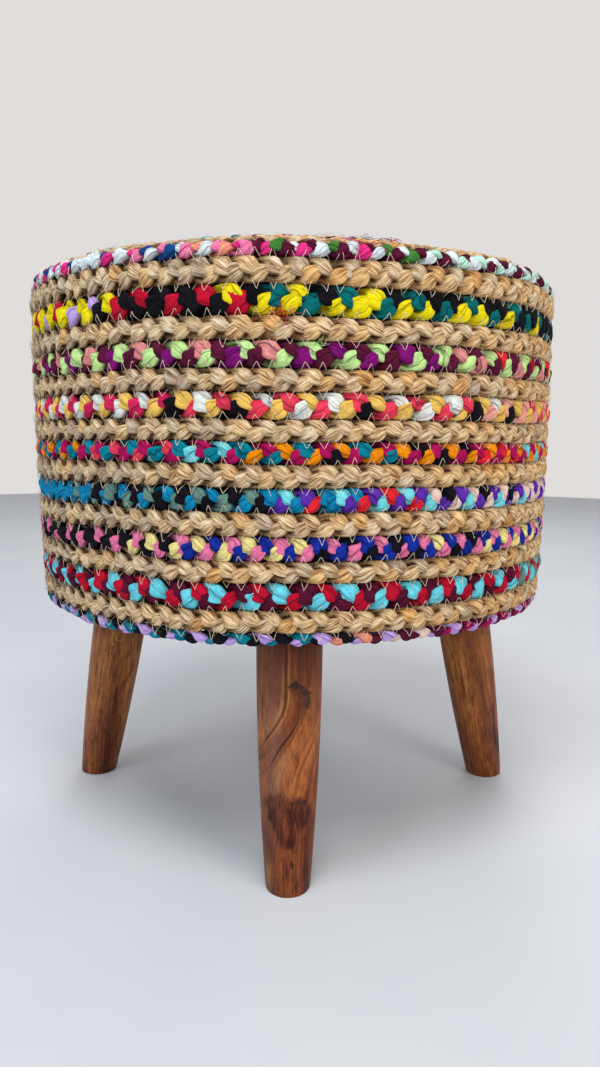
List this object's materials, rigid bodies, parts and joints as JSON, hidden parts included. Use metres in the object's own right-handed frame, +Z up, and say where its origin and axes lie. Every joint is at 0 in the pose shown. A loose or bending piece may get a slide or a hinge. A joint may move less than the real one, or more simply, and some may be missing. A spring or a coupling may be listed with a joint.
{
  "type": "pouf",
  "caption": "Round pouf with a braided jute and cotton cover over a padded timber drum, on splayed tapered wooden legs.",
  "frame": {"origin": "on the floor, under the middle of the drum", "axes": "+Z up along the drum's axis; the front leg points to -Y"},
  "size_m": [0.4, 0.4, 0.4133],
  "materials": {
    "leg_wood": "oiled satin hardwood, strong wavy grain",
    "zinc_steel": "bright zinc plated",
    "screw_steel": "yellow zinc plated",
    "plywood": "unfinished plywood",
    "pine": "sawn pine",
    "hardboard": "smooth brown hardboard",
    "staple_steel": "galvanised wire",
    "wadding": "grey-brown needled felt wadding",
    "foam": "dark rebonded chip foam",
    "cotton_braid": "braided strips of cotton cloth in mixed bright colours",
    "jute_braid": "braided raw jute fibre",
    "calico": "unbleached calico",
    "dust_cloth": "black spunbonded cloth"
  },
  "bodies": {
    "root": {"leg_front": "leg_wood", "leg_plate_front": "zinc_steel", "hanger_bolt_front": "zinc_steel", "leg_right": "leg_wood", "leg_plate_right": "zinc_steel", "hanger_bolt_right": "zinc_steel", "leg_back": "leg_wood", "leg_plate_back": "zinc_steel", "hanger_bolt_back": "zinc_steel", "leg_left": "leg_wood", "leg_plate_left": "zinc_steel", "hanger_bolt_left": "zinc_steel", "post_front_right": "pine", "post_back_right": "pine", "post_back_left": "pine", "post_front_left": "pine", "leg_plate_screws": "screw_steel", "frame_screws_base": "screw_steel", "frame_screws_top": "screw_steel", "base_board": "plywood", "top_board": "plywood", "side_wall": "hardboard", "wall_staples": "staple_steel", "hem_staples": "staple_steel", "dust_cover_staples": "staple_steel", "side_wadding": "wadding", "seat_pad": "foam", "top_centre_coil": "jute_braid", "hem_band": "calico", "dust_cover": "dust_cloth", "side_cloth_braid_1": "cotton_braid", "side_cloth_braid_2": "cotton_braid", "side_cloth_braid_3": "cotton_braid", "side_cloth_braid_4": "cotton_braid", "side_cloth_braid_5": "cotton_braid", "side_cloth_braid_6": "cotton_braid", "side_cloth_braid_7": "cotton_braid", "side_cloth_braid_8": "cotton_braid", "side_cloth_braid_9": "cotton_braid", "side_jute_braid_1": "jute_braid", "side_jute_braid_2": "jute_braid", "side_jute_braid_3": "jute_braid", "side_jute_braid_4": "jute_braid", "side_jute_braid_5": "jute_braid", "side_jute_braid_6": "jute_braid", "side_jute_braid_7": "jute_braid", "side_jute_braid_8": "jute_braid", "top_jute_braid_1": "jute_braid", "top_jute_braid_2": "jute_braid", "top_jute_braid_3": "jute_braid", "top_jute_braid_4": "jute_braid", "top_jute_braid_5": "jute_braid", "top_jute_braid_6": "jute_braid", "top_cloth_braid_1": "cotton_braid", "top_cloth_braid_2": "cotton_braid", "top_cloth_braid_3": "cotton_braid", "top_cloth_braid_4": "cotton_braid", "top_cloth_braid_5": "cotton_braid", "top_cloth_braid_6": "cotton_braid"}
  },
  "joints": []
}
